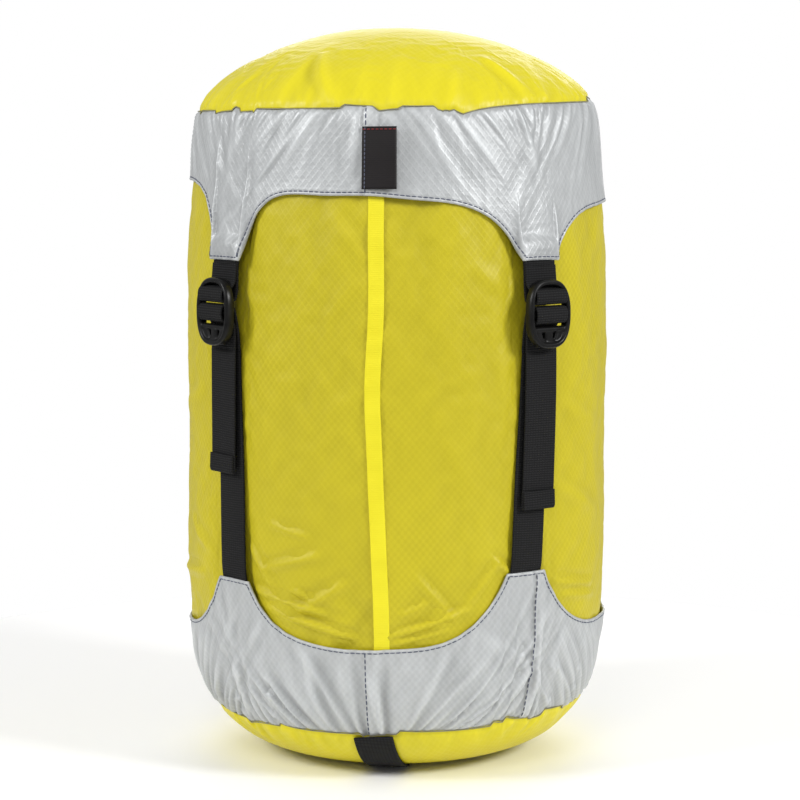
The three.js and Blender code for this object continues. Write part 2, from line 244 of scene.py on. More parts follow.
class Folds:
    """Folds that start at a seam and fan out towards the tongues as they fade away from it."""

    def __init__(self, seed, count, depth, width, length, lean, spread=0.18):
        local = np.random.default_rng(seed)
        even = np.linspace(0, TURN, count, endpoint=False)
        self.at = even + local.uniform(-0.5, 0.5, count) * TURN / count
        self.depth = local.uniform(*depth, count) * MM
        self.width = local.uniform(*width, count) * MM
        self.length = local.uniform(*length, count) * MM
        self.lean = lean * np.sin(4 * self.at) + local.normal(0, spread, count)
        self.bend = local.normal(0, 0.0025, count)

    def lift(self, angle, distance, radius):
        """Radial displacement at a distance from the seam."""
        total = np.zeros(np.broadcast(angle, distance).shape)
        for at, depth, width, length, lean, bend in zip(
            self.at, self.depth, self.width, self.length, self.lean, self.bend
        ):
            across = np.mod(angle - at + math.pi, TURN) - math.pi
            across = across * radius - lean * distance - bend * (distance / 0.03) ** 2
            wide = width * (0.55 + 0.9 * np.clip(distance / length, 0, 1.5))
            u = across / wide
            ridge = 0.95 * np.exp(-1.5 * np.sqrt(u**2 + 0.03)) - 0.75 * np.exp(-((u - 1.2) ** 2))
            ridge -= 0.3 * np.exp(-((u + 1.4) ** 2))
            fade = np.exp(-((distance / length) ** 1.6)) * np.clip(distance / (2 * MM), 0.25, 1)
            total += depth * ridge * fade
        return total


def crease_lift(angle, height, creases):
    """Listed creases: (angle, height) in degrees and mm of each end, depth and width in mm."""
    total = np.zeros(np.broadcast(angle, height).shape)
    for a0, z0, a1, z1, depth, width in creases:
        start = np.array([math.radians(a0) * SACK_RADIUS, z0 * MM])
        along = np.array([math.radians(a1) * SACK_RADIUS, z1 * MM]) - start
        length = np.linalg.norm(along)
        along /= length
        x, z = angle * SACK_RADIUS - start[0], height - start[1]
        t = (x * along[0] + z * along[1]) / length
        side = (z * along[0] - x * along[1]) / (width * MM)
        taper = np.clip(np.sin(np.clip(t, 0, 1) * math.pi), 0, 1) ** 0.7
        total += depth * MM * taper * (np.exp(-(side**2)) - 0.5 * np.exp(-((side - 1.3) ** 2)))
    return total


def bumps(angle, height, seed, count, size, stretch=(1.0, 1.0)):
    """Soft random swells over the whole wall, as a sum of slow waves that close round the sack."""
    local = np.random.default_rng(seed)
    total = np.zeros(np.broadcast(angle, height).shape)
    for _ in range(count):
        turns = local.integers(2, 14) * stretch[0]
        rise = local.normal(0, 70) * stretch[1]
        total += local.normal() * np.sin(round(turns) * angle + rise * height + local.uniform(0, TURN))
    return size * total / math.sqrt(count)


# ---- Meshes ------------------------------------------------------------------------------------

def add_piece(name, mesh, material):
    mesh.polygons.foreach_set("use_smooth", [True] * len(mesh.polygons))
    mesh.materials.append(material)
    piece = bpy.data.objects.new(name, mesh)
    bpy.context.scene.collection.objects.link(piece)
    return piece


def attach(piece, body, node=None):
    """Rides a piece on a body, in place of a node if one is given."""
    if node:
        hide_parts(node)
    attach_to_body(piece, body)


def new_object(name, vertices, faces, material, fold=None):
    """`fold` says how far each point stands out of its surroundings: 0 in a valley, 1 on a ridge."""
    mesh = bpy.data.meshes.new(name)
    mesh.from_pydata([tuple(v) for v in vertices], [], [tuple(f) for f in faces])
    shade = mesh.attributes.new("fold", "FLOAT", "POINT")
    shade.data.foreach_set("value", np.full(len(vertices), 0.5) if fold is None else fold)
    tidy = bmesh.new()
    tidy.from_mesh(mesh)
    bmesh.ops.remove_doubles(tidy, verts=tidy.verts, dist=1e-7)
    bmesh.ops.dissolve_degenerate(tidy, edges=tidy.edges, dist=1e-8)
    tidy.to_mesh(mesh)
    tidy.free()
    return add_piece(name, mesh, material)


def grid_faces(rows, columns, close_rows):
    i = np.arange(rows if close_rows else rows - 1)[:, None]
    j = np.arange(columns)[None, :]
    a, b = i * columns + j, i * columns + (j + 1) % columns
    up = (i + 1) % rows
    return np.stack([a, b, up * columns + (j + 1) % columns, up * columns + j], -1).reshape(-1, 4)


def simulated(start, cut, pressure, frames):
    """Where a sheet of cloth, cut to another size than its place, moves when its end rows are held."""
    rows, columns = start.shape[:2]
    mesh = bpy.data.meshes.new("settling")
    mesh.from_pydata(start.reshape(-1, 3).tolist(), [], grid_faces(rows, columns, False).tolist())
    sheet = bpy.data.objects.new("settling", mesh)
    bpy.context.scene.collection.objects.link(sheet)
    sheet.shape_key_add(name="start")
    pattern = sheet.shape_key_add(name="cut")
    pattern.data.foreach_set("co", cut.ravel())
    held = sheet.vertex_groups.new(name="held")
    held.add(list(range(columns)), 1.0, "REPLACE")
    held.add(list(range((rows - 1) * columns, rows * columns)), 1.0, "REPLACE")
    cloth = sheet.modifiers.new("cloth", "CLOTH")
    settings = cloth.settings
    settings.rest_shape_key = pattern
    settings.vertex_group_mass = "held"
    settings.quality, settings.mass, settings.air_damping = 6, 0.002, 3
    settings.tension_stiffness, settings.compression_stiffness, settings.shear_stiffness = 6, 6, 2.5
    settings.bending_stiffness = 0.003
    settings.tension_damping, settings.compression_damping, settings.shear_damping = 8, 8, 6
    settings.use_pressure, settings.uniform_pressure_force = True, pressure
    settings.effector_weights.gravity = 0
    cloth.collision_settings.use_collision = False
    for step in range(1, frames + 1):
        bpy.context.scene.frame_set(step)
    moved = np.empty(rows * columns * 3)
    settled = sheet.evaluated_get(bpy.context.evaluated_depsgraph_get())
    settled.to_mesh().vertices.foreach_get("co", moved)
    settled.to_mesh_clear()
    bpy.data.objects.remove(sheet)
    bpy.context.scene.frame_set(1)
    return moved.reshape(rows, columns, 3)


class Panel:
    """One piece of the sack's cloth, between two edges (runs of an outline, round the sack)."""

    def __init__(self, outline, low_edge, high_edge, lift):
        self.outline, self.low_edge, self.high_edge, self.lift = outline, low_edge, high_edge, lift
        self.drape = None

    def surface(self, angles, share, raised=0.0):
        """Points of the cloth's outer face. `share` runs from the low edge to the high one."""
        low, high = self.low_edge(angles), self.high_edge(angles)
        run = low + (high - low) * share
        points = self.outline.points(angles[None, :], run, self.lift(angles[None, :], run) + raised)
        if self.drape is not None:
            points = points + self.drape_at(angles, share)
        return points

    def drape_at(self, angles, share):
        """How far the simulation moved the cloth there."""
        rows, columns = self.drape.shape[:2]
        grid = angle_grid(columns)
        column = np.interp(angles, np.append(grid, grid[0] + TURN), np.arange(columns + 1))
        column = np.broadcast_to(column[None, :], np.broadcast(angles[None, :], share).shape)
        row = np.clip(np.broadcast_to(share, column.shape), 0, 1) * (rows - 1)
        i, j = np.minimum(row.astype(int), rows - 2), np.floor(column).astype(int)
        u, v = (row - i)[..., None], (column - j)[..., None]
        a, b = j % columns, (j + 1) % columns
        d = self.drape
        return (d[i, a] * (1 - v) + d[i, b] * v) * (1 - u) + (d[i + 1, a] * (1 - v) + d[i + 1, b] * v) * u

    def settle(self, columns, rows, fullness, pressure, frames=14, reach=1.0):
        """Let the cloth find its own folds: it is cut wider than its place by `fullness`.

        If `reach` is under 1, only that share of the cloth moves, less and less towards its end.
        """
        angles = angle_grid(columns)
        share = np.linspace(0, reach, rows)[:, None]
        low, high = self.low_edge(angles)[None, :], self.high_edge(angles)[None, :]
        start = self.surface(angles, share)
        cut = self.outline.points(angles[None, :], low + (high - low) * share)
        cut[..., :2] *= 1 + fullness(share)[..., None]
        offset = simulated(start, cut, pressure, frames) - start
        size = np.linalg.norm(offset, axis=-1, keepdims=True)
        offset *= MOST_MOVED / np.maximum(size, MOST_MOVED)
        if reach < 1:
            offset *= np.clip((reach - share) / (0.5 * reach), 0, 1)[..., None]
        self.drape = np.zeros((round((rows - 1) / reach) + 1, columns, 3))
        self.drape[:rows] = offset


def shell(name, panel, columns, rows, thickness, material, inner_rows=12, rolled=(), dark=None):
    """A panel as a closed sheet. `rolled` says which of its edges, "low" or "high", is a folded hem.

    `dark` says how much darker it is, at an angle and a height, for what lies beneath it.
    """
    angles = angle_grid(columns)
    share = np.linspace(0, 1, rows)[:, None]
    length = (panel.high_edge(angles) - panel.low_edge(angles))[None, :]
    tuck = 0.0
    for edge, distance in (("low", share * length), ("high", (1 - share) * length)):
        if edge in rolled:
            tuck = tuck - 0.45 * thickness * np.clip(1 - distance / (0.9 * MM), 0, 1) ** 2
    outer = panel.surface(angles, share, tuck)
    back = np.linspace(rows - 1, 0, inner_rows).round().astype(int)
    back_tuck = tuck[back] if rolled else 0.0
    inner = panel.surface(angles, share[back], back_tuck - thickness)
    points = np.concatenate([outer, inner]).reshape(-1, 3)
    outward = (panel.surface(angles, share, tuck + 1 * MM) - outer) / MM
    around = np.mean([np.roll(outer, k, axis=1) for k in range(-9, 10)], axis=0)
    fold = 0.5 + np.sum((outer - around) * outward, axis=-1) / (1.6 * MM)
    if dark is not None:
        fold = fold - dark(angles[None, :], outer[..., 2])
    fold = np.clip(fold, 0, 1)
    fold = np.concatenate([fold, np.full((inner_rows, columns), 0.5)]).ravel()
    return new_object(name, points, grid_faces(rows + inner_rows, columns, True), material, fold)


def rounded_section(width, thickness, corner=5, across=9):
    """A strip's cross-section, as (across, out), with round edges."""
    half, radius = width / 2, thickness / 2
    turn = np.linspace(-math.pi / 2, math.pi / 2, corner)
    right = [(half - radius + radius * math.cos(t), radius * math.sin(t)) for t in turn]
    left = [(-x, -y) for x, y in right]
    flat = np.linspace(half - radius, -(half - radius), across)[1:-1]
    top = [(x, radius) for x in flat]
    bottom = [(-x, -radius) for x in flat]
    return np.array([*right, *top, *left, *bottom])


def swept_part(centres, sides, outs, section, closed=False):
    """Points and faces of a section carried along a line, with its own directions at each point."""
    centres, sides, outs = (np.array(v, float) for v in (centres, sides, outs))
    rows, columns = len(centres), len(section)
    points = centres[:, None] + sides[:, None] * section[None, :, :1] + outs[:, None] * section[None, :, 1:]
    faces = [tuple(int(k) for k in face) for face in grid_faces(rows, columns, closed)]
    if not closed:
        faces.append(tuple(reversed(range(columns))))
        faces.append(tuple((rows - 1) * columns + k for k in range(columns)))
    return points.reshape(-1, 3), faces


def sweep(name, centres, sides, outs, section, material):
    """Webbing, tape or cord, whose weave is laid out across and along it."""
    points, faces = swept_part(centres, sides, outs, section)
    mesh = bpy.data.meshes.new(name)
    mesh.from_pydata([tuple(v) for v in points], [], faces)
    runs = runs_along(np.array(centres, float))
    layer = mesh.uv_layers.new(name="weave")
    for loop in mesh.loops:
        row, column = divmod(loop.vertex_index, len(section))
        layer.data[loop.index].uv = (section[column][0], runs[row])
    solid = bmesh.new()
    solid.from_mesh(mesh)
    bmesh.ops.recalc_face_normals(solid, faces=solid.faces)
    solid.to_mesh(mesh)
    solid.free()
    return add_piece(name, mesh, material)


def station_axes(degrees):
    """The across and outward directions of a place round the sack."""
    a = math.radians(degrees)
    return np.array([math.cos(a), math.sin(a), 0]), np.array([math.sin(a), -math.cos(a), 0])


def station_shift(degrees):
    """The front left webbing is sewn a little nearer the middle than the others, in millimetres."""
    return 2.4 if degrees == -45 else 0.0


def strap(name, degrees, line, material, thickness=WEB_THICKNESS, steps=10, wrapped=False):
    """Webbing at a station: its middle line is (across, radius, height, twist in degrees), in mm.

    If wrapped, it curves across its width to lie on the sack.
    """
    across, out = station_axes(degrees)
    line = smooth_line(line, steps)
    centres = ((line[:, :1] + station_shift(degrees)) * across + line[:, 1:2] * out) * MM
    centres[:, 2] = line[:, 2] * MM
    along = unit(np.gradient(centres, axis=0))
    twist = np.radians(line[:, 3])[:, None]
    side = across * np.cos(twist) + out * np.sin(twist)
    side = unit(side - along * np.sum(side * along, axis=1)[:, None])
    face = -np.cross(along, side)
    section = rounded_section(WEB_WIDTH, thickness)
    if wrapped:
        section[:, 1] -= section[:, 0] ** 2 / (2 * LOCK_WALL)
    return sweep(name, centres, side, face, section, material)


def tube(name, points, radius, material, sides=10, steps=6):
    """A cord or wire, as a round section along a smooth curve."""
    line = smooth_line(points, steps)
    along = unit(np.gradient(line, axis=0))
    side = unit(np.cross(along, [0.13, 0.2, 0.97]))
    turn = np.linspace(0, TURN, sides, endpoint=False)
    section = radius * np.stack([np.cos(turn), np.sin(turn)], 1)
    return sweep(name, line, side, np.cross(along, side), section, material)


def stitches(name, centres, outs, material, length=2.5 * MM, gap=0.6 * MM, radius=0.32 * MM,
             closed=True):
    """A row of thread stitches along a line of points, each a short capsule that lies on the fabric."""
    centres, outs = np.array(centres), np.array(outs)
    if closed:
        centres, outs = np.vstack([centres, centres[:1]]), np.vstack([outs, outs[:1]])
    runs = runs_along(centres)
    count = int(runs[-1] / (length + gap))
    middles = (np.arange(count) + 0.5) * runs[-1] / count
    sides = 6
    ring = np.linspace(0, TURN, sides, endpoint=False)
    shape = [(-0.5, 0.25), (-0.3, 0.9), (0.0, 1.0), (0.3, 0.9), (0.5, 0.25)]
    vertices, faces = [], []
    for middle in middles:
        ends = [
            np.array([np.interp(middle + k * length / 2, runs, c) for c in centres.T]) for k in (-1, 1)
        ]
        out = np.array([np.interp(middle, runs, c) for c in outs.T])
        along = ends[1] - ends[0]
        size = np.linalg.norm(along)
        if size < 0.3 * length:
            continue
        along /= size
        side = np.cross(along, out)
        side /= np.linalg.norm(side)
        up = np.cross(side, along)
        base = len(vertices)
        for t, swell in shape:
            centre = (ends[0] + ends[1]) / 2 + along * t * size
            for r in ring:
                vertices.append(centre + radius * swell * (side * math.cos(r) + 0.8 * up * math.sin(r)))
        faces += [tuple(base + k for k in face) for face in grid_faces(len(shape), sides, False)]
        faces.append(tuple(base + j for j in reversed(range(sides))))
        faces.append(tuple(base + (len(shape) - 1) * sides + j for j in range(sides)))
    return new_object(name, vertices, faces, material)


# ---- Materials ---------------------------------------------------------------------------------

class Shader:
    """Builds one material's nodes."""

    def __init__(self, name, colour, roughness, **sockets):
        self.material = bpy.data.materials.new(name)
        self.material.use_nodes = True
        self.material.diffuse_color = (*colour, 1)
        self.tree = self.material.node_tree
        self.bsdf = self.tree.nodes["Principled BSDF"]
        self.bsdf.inputs["Base Color"].default_value = (*colour, 1)
        self.bsdf.inputs["Roughness"].default_value = roughness
        for socket, value in sockets.items():
            self.bsdf.inputs[socket.replace("_", " ")].default_value = value

    def node(self, kind, settings=None, **inputs):
        made = self.tree.nodes.new(kind)
        for key, value in (settings or {}).items():
            setattr(made, key, value)
        for key, value in inputs.items():
            numbered = key[0] == "i" and key[1:].isdigit()
            socket = made.inputs[int(key[1:]) if numbered else key]
            if isinstance(value, bpy.types.NodeSocket):
                self.tree.links.new(value, socket)
            else:
                socket.default_value = value
        return made

    def math(self, operation, a, b=0.0, c=0.0):
        return self.node("ShaderNodeMath", {"operation": operation}, i0=a, i1=b, i2=c).outputs[0]

    def swing(self, value, size):
        """A value that lies round a half, as one that lies round zero."""
        return self.math("MULTIPLY", self.math("SUBTRACT", value, 0.5), size)

    def object_axes(self):
        place = self.node("ShaderNodeTexCoord").outputs["Object"]
        return place, self.node("ShaderNodeSeparateXYZ", i0=place).outputs

    def noise(self, vector, scale, detail=2.0, roughness=0.5):
        settings = {"Scale": scale, "Detail": detail, "Roughness": roughness}
        return self.node("ShaderNodeTexNoise", Vector=vector, **settings).outputs["Fac"]

    def ramp(self, value, low, high, to_low=0.0, to_high=1.0):
        ends = {"From Min": low, "From Max": high, "To Min": to_low, "To Max": to_high}
        return self.node("ShaderNodeMapRange", Value=value, **ends).outputs[0]

    def mix(self, factor, first, second):
        made = self.node("ShaderNodeMix", {"data_type": "RGBA"}, i0=factor)
        for socket, colour in ((made.inputs[6], first), (made.inputs[7], second)):
            if isinstance(colour, bpy.types.NodeSocket):
                self.tree.links.new(colour, socket)
            else:
                socket.default_value = (*colour, 1)
        return made.outputs[2]

    def colour(self, socket):
        self.tree.links.new(socket, self.bsdf.inputs["Base Color"])

    def rough(self, socket):
        self.tree.links.new(socket, self.bsdf.inputs["Roughness"])

    def bump(self, height, distance, strength=1.0):
        made = self.node("ShaderNodeBump", Height=height, Distance=distance, Strength=strength)
        self.tree.links.new(made.outputs[0], self.bsdf.inputs["Normal"])


CELL = (3.5 * MM, 4.2 * MM)  # a ripstop diamond's width and height


def ripstop(name, colour, light, roughness, flat=False, relief=0.10, contrast=0.16, crinkle=0.0,
            shaded=0.08, **sockets):
    """Coated nylon with a raised diamond grid, laid round the sack or, if flat, across its end."""
    shader = Shader(name, colour, roughness, **sockets)
    place, (x, y, z) = shader.object_axes()
    if flat:
        across = shader.math("MULTIPLY", x, TURN / CELL[0])
        along = shader.math("MULTIPLY", y, TURN / CELL[1])
    else:
        angle = shader.math("ARCTAN2", x, shader.math("MULTIPLY", y, -1.0))
        across = shader.math("MULTIPLY", angle, round(TURN * SACK_RADIUS / CELL[0]))
        along = shader.math("MULTIPLY", z, TURN / CELL[1])
    first = shader.math("COSINE", shader.math("ADD", across, along))
    second = shader.math("COSINE", shader.math("SUBTRACT", across, along))
    grid = shader.math("MULTIPLY_ADD", shader.math("ADD", first, second), 0.25, 0.5)
    lines = shader.math("POWER", shader.math("MAXIMUM", first, second), 3.0)
    weave = shader.noise(place, 2600.0, 1.0)
    cloudy = shader.noise(place, 22.0, 3.0)
    patch = shader.ramp(shader.noise(place, 9.0, 2.0), 0.35, 0.65, 0.35, 1.0)
    grid_swing = shader.math("SUBTRACT", grid, 0.5)
    tone = shader.math("MULTIPLY_ADD", grid_swing, shader.math("MULTIPLY", patch, contrast * 3), 0.5)
    tone = shader.math("ADD", tone, shader.swing(cloudy, 0.28))
    tone = shader.math("ADD", tone, shader.swing(weave, 0.25))
    # fine creases, drawn out up and down the cloth, as a bump and as painted shade: the colour is darker in
    # their valleys and lighter on their ridges
    drawn = shader.node("ShaderNodeVectorMath", {"operation": "MULTIPLY"}, i0=place, i1=(1, 1, 0.22))
    creases = shader.noise(drawn.outputs[0], 260.0, 2.0, 0.55)
    tone = shader.math("ADD", tone, shader.swing(creases, crinkle * 2))
    # light gathers on ridges and is lost in valleys
    fold = shader.node("ShaderNodeAttribute", {"attribute_name": "fold"}).outputs["Fac"]
    shade = shader.ramp(fold, 0.0, 1.0, 1 - shaded, 1 + 0.6 * shaded)
    plain_tone = shader.mix(shader.ramp(tone, 0.0, 1.0), colour, light)
    shaded_tone = shader.node("ShaderNodeVectorMath", {"operation": "SCALE"}, i0=plain_tone, Scale=shade)
    shader.colour(shaded_tone.outputs[0])
    worn = shader.math("ADD", grid, shader.math("MULTIPLY", cloudy, 0.6))
    shader.rough(shader.ramp(worn, 0.0, 1.6, roughness + 0.1, roughness - 0.08))
    height = shader.math("ADD", shader.math("MAXIMUM", lines, 0.0), shader.math("MULTIPLY", weave, 0.35))
    height = shader.math("ADD", height, shader.math("MULTIPLY", creases, crinkle * 9))
    shader.bump(height, relief * MM, 0.55)
    return shader.material


def webbing(name, colour, light, rib=1.15 * MM, column=1.7 * MM):
    """Woven webbing: ribs across it, in columns."""
    shader = Shader(name, colour, 0.78, Specular_IOR_Level=0.12)
    place = shader.node("ShaderNodeUVMap", {"uv_map": "weave"}).outputs[0]
    u, v, _ = shader.node("ShaderNodeSeparateXYZ", i0=place).outputs
    lane = shader.math("MULTIPLY", u, 1 / column)
    ribs = shader.math("SINE", shader.math("MULTIPLY", v, TURN / rib))
    columns = shader.math("ABSOLUTE", shader.math("SINE", shader.math("MULTIPLY", lane, math.pi)))
    rounded = shader.math("POWER", columns, 0.5)
    height = shader.math("MULTIPLY", shader.math("MULTIPLY_ADD", ribs, 0.5, 0.5), rounded)
    fuzz = shader.noise(shader.node("ShaderNodeTexCoord").outputs["Object"], 1800.0, 2.0)
    tone = shader.math("ADD", shader.math("MULTIPLY", height, 0.7), shader.math("MULTIPLY", fuzz, 0.45))
    shader.colour(shader.mix(shader.ramp(tone, 0.1, 1.1), colour, light))
    shader.bump(shader.math("ADD", height, shader.math("MULTIPLY", fuzz, 0.3)), 0.22 * MM, 0.9)
    return shader.material


def tape_material(name, colour, light, rib=0.9 * MM):
    """Narrow woven tape, ribbed across."""
    shader = Shader(name, colour, 0.55, Specular_IOR_Level=0.3)
    place, axes = shader.object_axes()
    ribs = shader.math("SINE", shader.math("MULTIPLY", axes[2], TURN / rib))
    cloudy = shader.noise(place, 45.0, 3.0)
    cloud_swing = shader.math("SUBTRACT", cloudy, 0.5)
    tone = shader.math("ADD", shader.math("MULTIPLY_ADD", ribs, 0.08, 0.5), cloud_swing)
    shader.colour(shader.mix(shader.ramp(tone, 0.0, 1.0), colour, light))
    shader.bump(shader.math("MULTIPLY_ADD", ribs, 0.3, shader.noise(place, 160.0, 3.0)), 0.12 * MM, 0.6)
    return shader.material


def plain(name, colour, light, roughness, grain=1500.0, relief=0.03, **sockets):
    """Moulded plastic, thread or metal: a fine grain over a slowly varying tone."""
    shader = Shader(name, colour, roughness, **sockets)
    place, _ = shader.object_axes()
    fine = shader.noise(place, grain, 2.0)
    worn = shader.noise(place, 120.0, 3.0)
    shader.colour(shader.mix(shader.ramp(worn, 0.35, 0.75), colour, light))
    shader.rough(shader.ramp(worn, 0.3, 0.7, roughness - 0.06, roughness + 0.08))
    shader.bump(fine, relief * MM, 0.5)
    return shader.material


BODY_YELLOW = ripstop("body_ripstop", (0.455, 0.38, 0.009), (0.59, 0.51, 0.020), 0.46, contrast=0.17,
                      Specular_IOR_Level=0.3)
# the ends' grid lies flat across them; their yellow is lighter than the body's as painted light, for the
# dome lit from above, and the base panel takes the same yellow
END_YELLOW_PAINTED_LIGHT = ripstop("end_ripstop", (0.64, 0.55, 0.008), (0.74, 0.65, 0.016), 0.42, flat=True, contrast=0.08,
                     relief=0.05, Specular_IOR_Level=0.35)
GREY = ripstop("grey_ripstop", (0.39, 0.405, 0.41), (0.54, 0.555, 0.56), 0.45, contrast=0.14, relief=0.12,
               crinkle=0.28, shaded=0.3, Metallic=0.2)
TAPE = tape_material("seam_tape", (0.76, 0.66, 0.010), (0.86, 0.77, 0.025))
WEBBING = webbing("black_webbing", (0.006, 0.006, 0.006), (0.026, 0.026, 0.027))
PLASTIC = plain("black_plastic", (0.004, 0.004, 0.004), (0.007, 0.007, 0.007), 0.33, Specular_IOR_Level=0.2)
THREAD = plain("slate_thread", (0.05, 0.06, 0.10), (0.10, 0.11, 0.16), 0.6, grain=4000.0)
EDGE_THREAD = plain("seam_thread", (0.20, 0.19, 0.10), (0.30, 0.28, 0.16), 0.7, grain=4000.0)
LABEL_WEAVE = tape_material("label_weave", (0.003, 0.002, 0.002), (0.010, 0.007, 0.008))
LABEL_EDGE = plain("label_edge", (0.16, 0.01, 0.012), (0.3, 0.02, 0.02), 0.7)
CORD = plain("cord_braid", (0.008, 0.008, 0.009), (0.035, 0.035, 0.036), 0.75, grain=900.0, relief=0.25)
STEEL = plain("spring_steel", (0.5, 0.5, 0.52), (0.7, 0.7, 0.72), 0.28, Metallic=1.0)


# ---- Pieces of fabric --------------------------------------------------------------------------

def seam_dip(distance, depth=0.9 * MM, reach=1.6 * MM):
    """Fabric pulled in where it is sewn."""
    return -depth * np.exp(-((distance / reach) ** 2))


def hem_relief(distance):
    """A folded hem: puffed at its edge, and pulled in along its stitches."""
    puff = 0.35 * MM * np.exp(-(((distance - 1.0 * MM) / (1.0 * MM)) ** 2))
    groove = -0.40 * MM * np.exp(-(((distance - HEM_INSET) / (0.55 * MM)) ** 2))
    return puff + groove


def square_distance(angle, edge_at, run, radius):
    """Distance from a sloping edge, measured square to it."""
    near = math.radians(0.5)
    slope = (edge_at(angle + near) - edge_at(angle - near)) / (2 * near * radius)
    return np.abs(run - edge_at(angle)) / np.sqrt(1 + slope**2)


def webbing_bulge(angle, up, middles, size, reach):
    """Cloth raised over the webbing sewn under each tongue; `up` is the distance from the hem."""
    across = from_tongue(angle, middles) * SACK_RADIUS
    return size * under(across, 12.2 * MM, 0.8 * MM) * under(up, reach, 1.3 * MM)


def pucker(angle, distance, turns, size, reach, seed):
    """Fine ripples that a row of stitches raises beside it."""
    local = np.random.default_rng(seed)
    waves = sum(
        np.sin(round(turns * f) * angle + local.uniform(0, TURN)) for f in local.uniform(0.7, 1.3, 4)
    )
    return size * waves / 2 * np.exp(-distance / reach)


SKIRT_FOLDS = Folds(21, 112, (0.3, 1.3), (1.8, 4.0), (10, 50), 0.7, 0.14)
SKIRT_LONG_FOLDS = Folds(22, 26, (0.5, 1.2), (4, 8), (35, 75), 0.9, 0.1)
BAND_FOLDS = Folds(31, 88, (1.0, 2.3), (2.0, 3.2), (26, 64), 0.85, 0.1)
BAND_LONG_FOLDS = Folds(32, 26, (1.0, 2.0), (3.4, 6), (40, 80), 0.9, 0.08)
DOME_FOLDS = Folds(41, 110, (0.2, 0.75), (1.8, 5.0), (8, 30), 0.1, 0.2)
DOME_LONG_FOLDS = Folds(42, 16, (0.4, 1.0), (5, 10), (30, 65), 0.0, 0.3)
FOOT_FOLDS = Folds(51, 76, (0.4, 1.3), (2.5, 6), (8, 28), 0.1, 0.25)
LEFT_SEAM = -5.2 * MM  # where the skirt's and the band's own ends are joined, left of the label
RIGHT_SEAM = 84.0 * MM  # the band is made of two lengths, and this is its other joint

WALL_CREASES = [
    (-36, 98, -12, 88, 3.0, 1.9), (-31, 90, -4, 76, 3.0, 2.0), (-33, 108, -14, 118, 2.0, 2.4),
    (-24, 84, -6, 106, 2.0, 2.8), (-37, 120, -26, 96, 2.0, 2.2), (3, 77, 26, 92, 3.0, 1.9),
    (4, 74, 20, 82, 2.4, 1.5), (10, 110, 22, 84, 2.0, 2.4), (24, 92, 34, 116, 2.0, 2.2),
    (30, 118, 38, 106, 1.8, 2.0), (-30, 132, -17, 126, 1.5, 2.0), (-22, 100, -16, 93, 2.2, 1.6),
    (7, 88, 14, 96, 1.8, 1.8), (52, 100, 72, 94, 2.2, 2.4), (56, 92, 74, 88, 1.8, 2.0),
    (-84, 96, -56, 100, 2.0, 2.6), (-70, 128, -52, 112, 1.6, 3.0), (-12, 286, -2, 262, 0.8, 4.0),
    (26, 262, 36, 246, 1.0, 4.4), (100, 96, 124, 102, 2.0, 2.4), (146, 98, 172, 86, 2.2, 2.6),
    (-172, 82, -146, 96, 2.0, 2.4), (-122, 104, -98, 92, 1.8, 2.4), (53, 150, 76, 128, 1.6, 4.0),
    (54, 190, 74, 176, 1.2, 4.4), (-80, 180, -55, 196, 1.2, 4.4),
]
DOME_CREASES = [(-12, 2, -26, 46, 2.2, 4.2), (48, 0, 40, 40, 1.8, 4.0), (20, 0, 26, 30, 1.2, 3.6)]
BAND_CREASES = [(47, 36, 46.5, 90, 1.5, 1.6)]


def height_on(outline, run):
    return np.interp(run, outline.runs, outline.line[:, 1])


def kept_above(lift, lowest=-1.7 * MM, soft=0.6 * MM):
    """Stops folds from sinking into what lies underneath, without a hard edge."""
    return lowest + soft * np.logaddexp(0, (lift - lowest) / soft)


def joined_ends(angle, seam=LEFT_SEAM):
    """The short upright seam where a grey panel's two ends meet, as one end laid over the other."""
    x = angle * SEAM_RADIUS - seam
    groove = -0.55 * MM * np.exp(-((x / (0.7 * MM)) ** 2))
    over = 0.35 * MM * np.exp(-np.maximum(x, 0) / (5 * MM)) * under(-x, 0, 0.3 * MM)
    return groove + over


def wall_lift(angle, run):
    height = height_on(WALL, run)
    lift = bumps(angle, height, 61, 22, 0.6 * MM, (1.0, 0.6))
    lift = lift + bumps(angle, height, 62, 26, 0.2 * MM, (3.0, 2.5))
    lift = lift + crease_lift(angle, height, WALL_CREASES)
    # the straps press the wall in a little, and it swells between them
    away = from_tongue(angle, STRAP_MIDDLES)
    lift = lift - 1.5 * MM * np.exp(-((away / math.radians(7)) ** 4)) - 0.3 * MM
    # and it is slack where the grey panels cover it
    covered = np.clip((band_hem(angle) - height - 3 * MM) / (9 * MM), 0, 1)
    covered = covered + np.clip((height - skirt_hem(angle) - 3 * MM) / (9 * MM), 0, 1)
    return lift - 2.2 * MM * covered


def skirt_lift(angle, run):
    down = np.maximum(CAP.run_at(top_seam(angle)) - run, 0)
    up = square_distance(angle, edge_run(CAP, skirt_hem), run, SEAM_RADIUS)
    lift = SKIRT_FOLDS.lift(angle, down, 0.105) + SKIRT_LONG_FOLDS.lift(angle, down, 0.107)
    calm = np.clip(up / (9 * MM), 0.15, 1)
    lift = kept_above(lift) * calm + bumps(angle, run, 71, 20, 0.35 * MM, (1.6, 1.0)) * calm
    lift = lift + webbing_bulge(angle, up, SKIRT_TONGUES, 3.5 * MM, 10.5 * MM)
    lift = lift + hem_relief(up) + pucker(angle, up, 95, 0.16 * MM, 6 * MM, 72) + seam_dip(down)
    return lift + joined_ends(angle)


